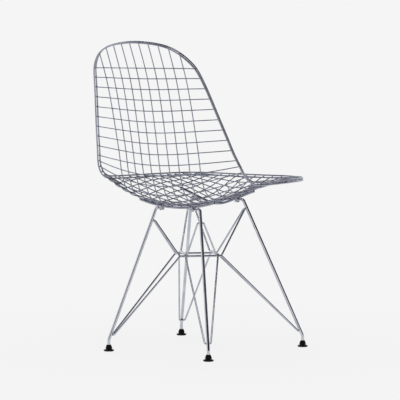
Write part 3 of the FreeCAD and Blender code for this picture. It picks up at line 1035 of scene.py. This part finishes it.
class MountFrame:
    """Local axes of a leg joint: origin on the rail axis, u inwards along the rail, w up."""

    def __init__(self, origin: Vector, u: Vector, w: Vector) -> None:
        """Stores the axes."""
        self.origin, self.u, self.v, self.w = origin, u, Vector((0, 1, 0)), w

    def at(self, u: float, v: float, w: float) -> Vector:
        """Point at local millimetres."""
        return self.origin + self.u * u + self.v * v + self.w * w

    def matrix(self, w: float = 0.0) -> Matrix:
        """Transform in metres from local axes to the frame, w millimetres up."""
        turn = Matrix((self.u, self.v, self.w)).transposed().to_4x4()
        return Matrix.Translation(Shop.place(self.at(0, 0, w))) @ turn


@dataclass
class Base:
    """Rails, saddles, legs, braces and glides."""

    dresser: Dresser
    rail_rod: float = 7.0
    rails: EndSizes = field(default_factory=lambda: {1: (106.0, 51.0), -1: (-76.0, 67.0)})
    rail_wires: int = 4
    rail_overhang: float = 19.5
    rail_step: float = 5.0
    leg_rod: float = 8.5
    feet: EndSizes = field(default_factory=lambda: {1: (165.0, 190.0), -1: (205.5, -190.0)})
    foot_bend: float = 30.0
    leg_top: EndSizes = field(default_factory=lambda: {1: (72.0, 100.0), -1: (86.0, -76.0)})
    leg_bend: float = 7.0
    knee_bend: float = 20.0
    tongue: Triple = (20.0, 10.5, 4.0)
    saddle_under: float = 2.6
    saddle_size: Pair = (12.0, 11.0)
    saddle_cheek: float = 1.9
    saddle_edges: Pair = (0.7, 2.5)
    screw: tuple[float, float, float, float] = (4.0, 8.0, 1.8, 4.5)
    brace_rod: float = 5.0
    brace_gap: float = 0.1
    leg_gap: float = 0.45
    bead_sink: float = 0.3
    seat_play: float = 0.05
    hole_play: float = 0.15
    socket: Pair = (1.7, 2.8)
    screw_edge: float = 0.35
    cap_edge: float = 0.18
    sole_edge: float = 0.12
    blade_start: float = 3.0
    blade_blend: float = 1.0
    root_setback: float = 2.0
    press_reach: float = 3.0
    press_gain: float = 1.25
    blade_chords: int = 26
    cutter_reach: float = 20.0
    ring_z: float = 257.7
    ring_y: float = 9.0
    ring_half: float = 44.5
    ring_run: float = 113.0
    u_width: float = 16.0
    ring_bend: float = 9.0
    u_bend: float = 5.5
    lower_weld: float = 44.0
    upper_weld: dict[int, float] = field(default_factory=lambda: {1: 350.0, -1: 378.0})
    leg_end: float = 12.4
    blade_taper: float = 3.0
    leg_weld: Triple = (4.2, 3.0, 1.5)
    ring_weld: Triple = (2.6, 2.6, 1.3)
    cap_profile: tuple = (
        (0, 10.75), (3.6, 10.75), (3.6, 6.4), (3.0, 6.4), (3.0, 5.4), (8.3, 5.4), (8.7, 5.9),
        (8.7, 8.6), (8.45, 10.6), (7.9, 12.6), (7.1, 14.5), (6.2, 16.2), (5.3, 17.6), (4.3, 17.6),
        (4.3, 12.35), (0, 12.35),
    )
    sole_profile: tuple = (
        (0, 0), (12.0, 0), (13.2, 0.6), (13.9, 1.7), (14.0, 2.4), (13.7, 3.4), (12.9, 4.1), (9.0, 4.2),
        (2.2, 4.2), (2.2, 5.8), (3.0, 6.9), (3.2, 8.0), (3.0, 9.1), (1.8, 10.2), (0, 10.2),
    )

    def build(self) -> None:
        """Builds every piece of the base."""
        self.drop = self.rail_rod / 2 + self.saddle_under + self.tongue[2] / 2
        self.mounts = {leg: self.mount(leg) for leg in Leg}
        self.build_rails()
        self.build_saddles()
        self.build_screws()
        self.build_legs()
        self.build_braces()
        self.build_welds()
        self.build_glides()

    def rail_points(self, fore: int) -> list[Vector]:
        """Left half of a rail's centre line.

        Args:
            fore: 1 for the rear rail, -1 for the front one.

        Returns:
            The points.
        """
        s = SHEET
        y = self.rails[fore][0]
        carried = s.long_x[:self.rail_wires]
        drop = -(s.lift + s.wire / 2 + s.weld_gap + self.rail_rod / 2)
        side: list[Vector] = []
        for x in carried + [carried[-1] + self.rail_overhang]:
            place = s.layer(s.row_under(x, y), x, drop)
            side.append(Vector((place.x, y, place.z)))
        return side

    def mount(self, leg: Leg) -> MountFrame:
        """Local axes where a leg is screwed to its rail.

        Args:
            leg: the leg.

        Returns:
            The axes.
        """
        side = self.rail_points(leg.fore)
        inner, outer = side[1], side[2]
        origin = inner.lerp(outer, (self.rails[leg.fore][1] - inner.x) / (outer.x - inner.x))
        u = unit(inner - outer)
        w = Vector((-u.z, 0, u.x))
        if w.z < 0:
            w = -w
        if leg.side < 0:
            return MountFrame(mirrored(origin), mirrored(u), mirrored(w))
        return MountFrame(origin, u, w)

    def build_rails(self) -> None:
        """The two rods that the mesh is welded to."""
        for fore, name in ((1, "rear_rail"), (-1, "front_rail")):
            side = self.rail_points(fore)
            path = Spline([mirrored(p) for p in reversed(side)] + side).sample(self.rail_step)
            obj = Shop.rod(f"{name}_rod", [path], self.rail_rod / 2, sides=5)
            # The rails take a darker copy of the leg chrome; its lower tint is painted shade for the shade
            # under the seat.
            self.dresser.dress(obj, Slot.BASE, "chair", [name], "rail_chrome_painted_shade")

    def build_saddles(self) -> None:
        """Grooved blocks between rails and legs."""
        length, width = self.saddle_size
        low = -(self.rail_rod / 2 + self.saddle_under) + self.seat_play
        high = self.rail_rod / 4 - self.saddle_cheek
        parts: list[Piece] = []
        for leg in Leg:
            block = Shop.bar("saddle", (length, width, high - low), *self.saddle_edges)
            Shop.settle(block, Matrix.Translation((0, 0, (low + high) / 2 * MM)))
            Shop.bore(block, self.rail_rod / 2 + self.seat_play, 2 * self.cutter_reach, 48,
                      Matrix.Rotation(math.pi / 2, 4, "Y"))
            parts.append(Shop.settle(block, self.mounts[leg].matrix()))
        self.dresser.dress(Shop.join(parts, "saddle_blocks"), Slot.FITTINGS, "chair", ["rail_saddles"])

    def build_screws(self) -> None:
        """Socket head screws under the leg ends."""
        shank, head, high, grip = self.screw
        top = -(self.drop + self.tongue[2] / 2 + self.seat_play)
        parts: list[Piece] = []
        for leg in Leg:
            profile = [(0, top - high), (head / 2, top - high), (head / 2, top), (shank / 2, top),
                       (shank / 2, grip - self.rail_rod / 2), (0, grip - self.rail_rod / 2)]
            body = Shop.lathe("screw", profile, 40, self.screw_edge)
            Shop.bore(body, *self.socket, 6, Matrix.Translation((0, 0, (top - high) * MM)))
            parts.append(Shop.settle(body, self.mounts[leg].matrix()))
        self.dresser.dress(Shop.join(parts, "saddle_socket_screws"), Slot.SCREW, "chair", ["saddle_screws"])

    def foot(self, leg: Leg) -> Vector:
        """Floor point under a leg."""
        x, y = self.feet[leg.fore]
        return Vector((leg.side * x, y, 0))

    def leg_line(self, leg: Leg) -> tuple[Vector, Vector]:
        """Knee and top corner of a leg's straight run.

        Args:
            leg: the leg.

        Returns:
            The two corners.
        """
        joint = self.mounts[leg]
        knee = self.foot(leg) + Vector((0, 0, self.foot_bend))
        tongue = joint.at(0, 0, -self.drop)
        x, y = self.leg_top[leg.fore]
        reach = (leg.side * x - tongue.x) / -joint.u.x
        top = tongue - joint.u * reach
        return knee, Vector((top.x, y, top.z))

    @staticmethod
    def rounded(corners: Sequence[Vector], radii: Sequence[float]) -> list[Vector]:
        """Corner points with round bends.

        Args:
            corners: the path's corners.
            radii: bend radius at each inner corner, in millimetres.

        Returns:
            The path.
        """
        path = [corners[0]]
        for i in range(1, len(corners) - 1):
            inward = unit(corners[i - 1] - corners[i])
            outward = unit(corners[i + 1] - corners[i])
            turn = math.pi - inward.angle(outward)
            setback = radii[i - 1] * math.tan(turn / 2)
            start = corners[i] + inward * setback
            hub = corners[i] + unit(inward + outward) * (radii[i - 1] / math.cos(turn / 2))
            spoke_a, spoke_b = start - hub, corners[i] + outward * setback - hub
            whole = spoke_a.rotation_difference(spoke_b)
            steps = max(2, math.ceil(turn / BEND_STEP))
            path += [hub + Quaternion().slerp(whole, n / steps) @ spoke_a for n in range(steps + 1)]
        return path + [corners[-1]]

    def flatten(self, obj: Piece, joint: MountFrame) -> None:
        """Presses the end of a leg's rod into a flat round-ended blade.

        Args:
            obj: the leg's rod, whose last run lies on the blade's axis.
            joint: local axes of the leg's joint.
        """
        length, width, thick = self.tongue
        root, half = -length / 2 - self.blade_taper, length / 2
        to_local = joint.matrix(-self.drop).inverted()
        to_frame = joint.matrix(-self.drop)
        radius = self.leg_rod / 2
        reach = self.press_reach * radius
        for vertex in obj.data.vertices:
            place = to_local @ vertex.co / MM
            if place.x < root or place.z < -reach or abs(place.y) > reach:
                continue
            share = smooth_step(place.x, (root, -length / 2 + self.blade_blend))
            wide = width / 2 / radius
            tip = place.x - (half - width / 2)
            if tip > 0:
                wide *= math.sqrt(max(1 - (tip / (width / 2)) ** 2, 0.0))
            place.y *= 1 + (wide - 1) * share
            flat = math.copysign(min(abs(place.z) * self.press_gain, thick / 2), place.z)
            place.z += (flat - place.z) * share
            vertex.co = to_frame @ (place * MM)

    def build_legs(self) -> None:
        """Bent rods with a flattened, drilled upper end."""
        length = self.tongue[0]
        for leg in Leg:
            knee, top = self.leg_line(leg)
            joint = self.mounts[leg]
            root = joint.at(-length / 2 + self.root_setback, 0, -self.drop)
            root.y = (root.y + top.y) / 2
            path = self.rounded([self.foot(leg) + Vector((0, 0, self.leg_end)), knee, top, root],
                                [self.knee_bend, self.leg_bend])
            start, run = -length / 2 + self.blade_start, length - self.blade_start
            path[-1] = path[-2].lerp(joint.at(start, 0, -self.drop), 0.5)
            path += [joint.at(start + run * k / self.blade_chords, 0, -self.drop)
                     for k in range(self.blade_chords + 1)]
            rod = Shop.rod("leg", [path], self.leg_rod / 2, sides=6)
            self.flatten(rod, joint)
            Shop.bore(rod, self.screw[0] / 2 + self.hole_play, self.cutter_reach, 32,
                      joint.matrix(-self.drop))
            rod.name = f"leg_rod_{leg.value}"
            self.dresser.dress(rod, Slot.BASE, "chair", [f"leg_{leg.value}"])

    def leg_at(self, leg: Leg, z: float) -> tuple[Vector, Vector]:
        """A point of a leg's axis.

        Args:
            leg: the leg.
            z: height of the point in millimetres.

        Returns:
            The point, and the level way outwards there.
        """
        knee, top = self.leg_line(leg)
        axis = knee.lerp(top, (z - knee.z) / (top.z - knee.z))
        return axis, unit(Vector((axis.x, axis.y - self.ring_y, 0)))

    def weld_corner(self, leg: Leg, z: float, towards: Vector) -> tuple[Vector, Vector]:
        """Middle and corner of a brace's short bend at a leg.

        Args:
            leg: the leg.
            z: height of the weld.
            towards: point on the side that the corner is on.

        Returns:
            The middle and the corner.
        """
        axis, outward = self.leg_at(leg, z)
        touch = axis - outward * (self.leg_rod / 2 + self.brace_rod / 2 + self.leg_gap)
        across = Vector((-outward.y, outward.x, 0))
        if across.dot(towards - axis) < 0:
            across = -across
        return touch, touch + across * (self.u_width / 2)

    def ring_corner(self, facing: Leg, towards: Leg, inset: float, z: float) -> Vector:
        """End of the ring run that faces one leg, at its end towards another.

        Args:
            facing: leg that the run faces.
            towards: leg that this end is nearer.
            inset: how far inside the ring's outer run it lies.
            z: height.

        Returns:
            The point.
        """
        way = unit(Vector((facing.side, facing.fore, 0)))
        run = unit(Vector((towards.side, towards.fore, 0)))
        return Vector((0, self.ring_y, z)) + way * (self.ring_half - inset) + run * (self.ring_run / 2)

    def brace_half(self, first: Leg, second: Leg, facing: Leg, inset: float, z: float,
                   upper: bool) -> list[Vector]:
        """Path of half a closed brace between two opposite legs.

        Args:
            first: leg at the start.
            second: leg at the end.
            facing: leg that the ring run faces.
            inset: how far inside the ring's outer run it lies.
            z: height of the ring run.
            upper: whether the brace goes up to the legs' tops.

        Returns:
            The path.
        """
        start = self.ring_corner(facing, first, inset, z)
        end = self.ring_corner(facing, second, inset, z)
        z1 = self.upper_weld[first.fore] if upper else self.lower_weld
        z2 = self.upper_weld[second.fore] if upper else self.lower_weld
        touch_a, corner_a = self.weld_corner(first, z1, start)
        touch_b, corner_b = self.weld_corner(second, z2, end)
        radii = [self.u_bend, self.ring_bend, self.ring_bend, self.u_bend]
        return self.rounded([touch_a, corner_a, start, end, corner_b, touch_b], radii)

    @property
    def brace_step(self) -> float:
        """Distance between the middles of two braces that lie on each other."""
        return self.brace_rod + self.brace_gap

    def build_braces(self) -> None:
        """Four closed braces, two low and two high."""
        pairs = {"a": (Leg.REAR_RIGHT, Leg.FRONT_LEFT, 1), "b": (Leg.REAR_LEFT, Leg.FRONT_RIGHT, -1)}
        for key, (first, second, level) in pairs.items():
            z = self.ring_z + level * self.brace_step / 2
            for tier, inset in (("lower", 0.0), ("upper", self.brace_step)):
                halves = [self.brace_half(first, second, facing, inset, z, tier == "upper")
                          for facing in Leg if facing not in (first, second)]
                loop = halves[0] + list(reversed(halves[1]))[1:-1]
                obj = Shop.rod(f"{tier}_brace_{key}_rod", [loop], self.brace_rod / 2, closed=True, sides=4)
                # The braces take a darker copy of the leg chrome; its lower tint is painted shade.
                self.dresser.dress(obj, Slot.BASE, "chair", [f"{tier}_brace_{key}"], "brace_chrome_painted_shade")

    def weld(self, name: str, size: Triple, finer: int, places: Sequence[Matrix]) -> None:
        """Puts a bead on each of many places, as one piece.

        Args:
            name: name of the piece.
            size: half a bead's length, width and height in millimetres.
            finer: how often its faces are split.
            places: transforms in metres.
        """
        template = Shop.bead(size, finer)
        self.dresser.dress(Shop.strew(template, name, places), Slot.BASE, "chair")
        bpy.data.objects.remove(template)

    def build_welds(self) -> None:
        """Beads where the braces meet the legs and cross each other."""
        at_legs: list[Matrix] = []
        for leg in Leg:
            knee, top = self.leg_line(leg)
            for z in (self.lower_weld, self.upper_weld[leg.fore]):
                axis, outward = self.leg_at(leg, z)
                place = axis - outward * (self.leg_rod / 2 + self.bead_sink)
                at_legs.append(Shop.stand(place, outward, top - knee))
        self.weld("brace_leg_welds", self.leg_weld, 3, at_legs)
        on_ring: list[Matrix] = []
        reaches = (self.ring_half, self.ring_half - self.brace_step)
        for (x, y), first, second in product(((1, 0), (0, 1), (-1, 0), (0, -1)), reaches, reaches):
            along, across = (first + second) / math.sqrt(2), (first - second) / math.sqrt(2)
            place = Vector((x * along - y * across, self.ring_y + y * along + x * across, self.ring_z))
            on_ring.append(Shop.stand(place, Vector((0, 0, 1)), Vector((1, 0, 0))))
        self.weld("brace_ring_welds", self.ring_weld, 2, on_ring)

    def build_glides(self) -> None:
        """Caps that turn on the legs and feet that tilt in them."""
        for leg in Leg:
            place = Matrix.Translation(Shop.place(self.foot(leg)))
            cap = Shop.lathe(f"glide_dome_{leg.value}", self.cap_profile, 48, self.cap_edge)
            Shop.settle(cap, place)
            self.dresser.dress(cap, Slot.PLASTIC, f"cap_{leg.value}", [f"glide_cap_{leg.value}"])
            foot = Shop.lathe(f"glide_sole_{leg.value}", self.sole_profile, 56, self.sole_edge)
            Shop.settle(foot, place)
            self.dresser.dress(foot, Slot.PLASTIC, f"foot_{leg.value}", [f"glide_foot_{leg.value}"])


@dataclass
class Studio:
    """Floor, lights, surroundings and camera."""

    camera_place: Triple = (-3.6411, 4.9433, 0.8413)
    azimuth: float = 216.23
    pitch: float = -4.077
    lens: float = 206.4
    sensor: float = 36.0
    far_clip: float = 60.0
    pale: float = 0.913
    room: float = 0.6
    floor_shadow: float = 0.1
    floor_radius: float = 16.0
    floor_drop: float = 0.0005
    floor_tone: float = 0.9
    floor_roughness: float = 0.9
    shadow_reach: Pair = (0.25, 1.3)
    card_reach: float = 6.5
    card_high: float = 3.5
    card_tone: float = 0.045
    ceiling_tone: float = 0.16
    card_lift: float = 1.1
    full_cards: tuple = (186.0, 216.0, 246.0, 276.0)
    raised_cards: tuple = (306.0, 336.0)
    card_sector: float = 30.0
    card_blue: float = 1.2
    card_roughness: float = 0.95
    lamps: tuple = (("key_lamp", (-0.75, 1.1, 3.0), 1.4, 16.0), ("fill_lamp", (2.6, -1.6, 2.8), 1.8, 24.0))
    lamp_aim: Triple = (0.0, 0.0, 0.5)

    def build(self) -> None:
        """Builds all that stands round the chair."""
        self.build_camera()
        self.build_floor()
        self.build_world()
        self.build_cards()
        self.build_lamps()

    def build_camera(self) -> None:
        """Camera at the photograph's place and angle."""
        data = bpy.data.cameras.new("photo_camera")
        data.lens = self.lens
        data.sensor_width = self.sensor
        data.clip_end = self.far_clip
        camera = bpy.data.objects.new("photo_camera", data)
        bpy.context.scene.collection.objects.link(camera)
        a, e = math.radians(self.azimuth), math.radians(self.pitch)
        aim = Vector((-math.sin(a) * math.cos(e), math.cos(a) * math.cos(e), math.sin(e)))
        camera.location = self.camera_place
        camera.rotation_euler = aim.to_track_quat("-Z", "Y").to_euler()
        bpy.context.scene.camera = camera

    @staticmethod
    def grey(tone: float, blue: float = 1.0) -> tuple[float, float, float, float]:
        """A grey, with its blue stronger or weaker."""
        return tone, tone, tone * blue, 1.0

    @staticmethod
    def pale_rays(wiring: Wiring) -> Node:
        """Picks the rays that see the pale background.

        Args:
            wiring: tree of the material or world that asks.

        Returns:
            A node whose value is 1 for camera, glossy and transmission rays.
        """
        rays = wiring.add("LightPath")
        first = wiring.add("Math", operation="MAXIMUM")
        second = wiring.add("Math", operation="MAXIMUM")
        wiring.link(rays, "Is Camera Ray", first, 0)
        wiring.link(rays, "Is Glossy Ray", first, 1)
        wiring.link(first, "Value", second, 0)
        wiring.link(rays, "Is Transmission Ray", second, 1)
        return second

    def build_floor(self) -> None:
        """Pale floor that keeps the chair's shadow."""
        Shop.clear()
        bpy.ops.mesh.primitive_circle_add(vertices=96, radius=self.floor_radius, fill_type="NGON",
                                          location=(0, 0, -self.floor_drop))
        floor = bpy.context.object
        floor.name = "studio_floor"
        material = bpy.data.materials.new("pale_floor")
        wiring = Wiring(material)
        shader = wiring.fill(wiring.tree.nodes["Principled BSDF"],
                             {"Base Color": self.grey(self.floor_tone), "Roughness": self.floor_roughness})
        glow = wiring.add("Emission", {"Color": self.grey(self.pale)})
        place = wiring.add("TexCoord")
        reach = wiring.add("VectorMath", operation="LENGTH")
        wiring.link(place, "Object", reach, 0)
        near, far = self.shadow_reach
        fade = wiring.add("MapRange", {"From Min": near, "From Max": far, "To Min": 1.0 - self.floor_shadow,
                                       "To Max": 1.0}, interpolation_type="SMOOTHSTEP")
        wiring.link(reach, "Value", fade, "Value")
        share = wiring.add("Math", operation="MULTIPLY")
        wiring.link(self.pale_rays(wiring), "Value", share, 0)
        wiring.link(fade, "Result", share, 1)
        wiring.blend(share, shader, glow, "Material Output")
        floor.data.materials.append(material)

    def build_world(self) -> None:
        """Pale background for camera and chrome, and soft grey light from all round."""
        world = bpy.data.worlds.new("studio")
        bpy.context.scene.world = world
        wiring = Wiring(world)
        room = wiring.fill(wiring.tree.nodes["Background"], {"Color": self.grey(self.room), "Strength": 1.0})
        pale = wiring.add("Background", {"Color": self.grey(self.pale)})
        wiring.blend(self.pale_rays(wiring), room, pale, "World Output")

    def build_cards(self) -> None:
        """Dark cards round and over the set, unseen by the camera, that give the chrome its contrast."""
        tones: list[bpy.types.Material] = []
        for name, tone in (("dark_card", self.card_tone), ("grey_ceiling", self.ceiling_tone)):
            material = bpy.data.materials.new(name)
            wiring = Wiring(material)
            wiring.fill(wiring.tree.nodes["Principled BSDF"],
                        {"Base Color": self.grey(tone, self.card_blue), "Roughness": self.card_roughness})
            tones.append(material)
        width = 2 * self.card_reach * math.tan(math.radians(self.card_sector / 2))
        places: list[tuple[Vector, Triple, Pair]] = []
        for azimuths, low in ((self.full_cards, 0.0), (self.raised_cards, self.card_lift)):
            for a in (math.radians(azimuth) for azimuth in azimuths):
                away = Vector((math.sin(a), -math.cos(a), 0)) * self.card_reach
                places.append((away + Vector((0, 0, (low + self.card_high) / 2)), (math.pi / 2, 0, a),
                               (width, self.card_high - low)))
        places.append((Vector((0, 0, self.card_high)), (0, 0, 0), (2 * self.card_reach, 2 * self.card_reach)))
        for i, (place, turn, size) in enumerate(places):
            Shop.clear()
            bpy.ops.mesh.primitive_plane_add(size=1.0, location=place, rotation=turn)
            card = bpy.context.object
            card.name = f"dark_card_{i}"
            card.scale = (*size, 1.0)
            bpy.context.view_layer.update()
            Shop.settle(card)
            card.data.materials.append(tones[1] if i == len(places) - 1 else tones[0])
            card.visible_camera = False
            card.visible_diffuse = False
            card.visible_shadow = False

    def build_lamps(self) -> None:
        """Two soft lamps over the chair."""
        for name, place, size, power in self.lamps:
            data = bpy.data.lights.new(name, "AREA")
            data.shape = "DISK"
            data.size = size
            data.energy = power
            lamp = bpy.data.objects.new(name, data)
            bpy.context.scene.collection.objects.link(lamp)
            lamp.location = place
            aim = Vector(self.lamp_aim) - Vector(place)
            lamp.rotation_euler = aim.to_track_quat("-Z", "Y").to_euler()


def main() -> None:
    """Builds the chair and its studio."""
    logging.basicConfig(level=logging.INFO, format="%(message)s")
    scene = bpy.context.scene
    scene.view_settings.view_transform = "Standard"
    dresser = Dresser()
    MeshShell(dresser).build()
    Base(dresser).build()
    Studio().build()
    log.info("%d pieces", dresser.count)


if __name__ == "__main__":
    main()
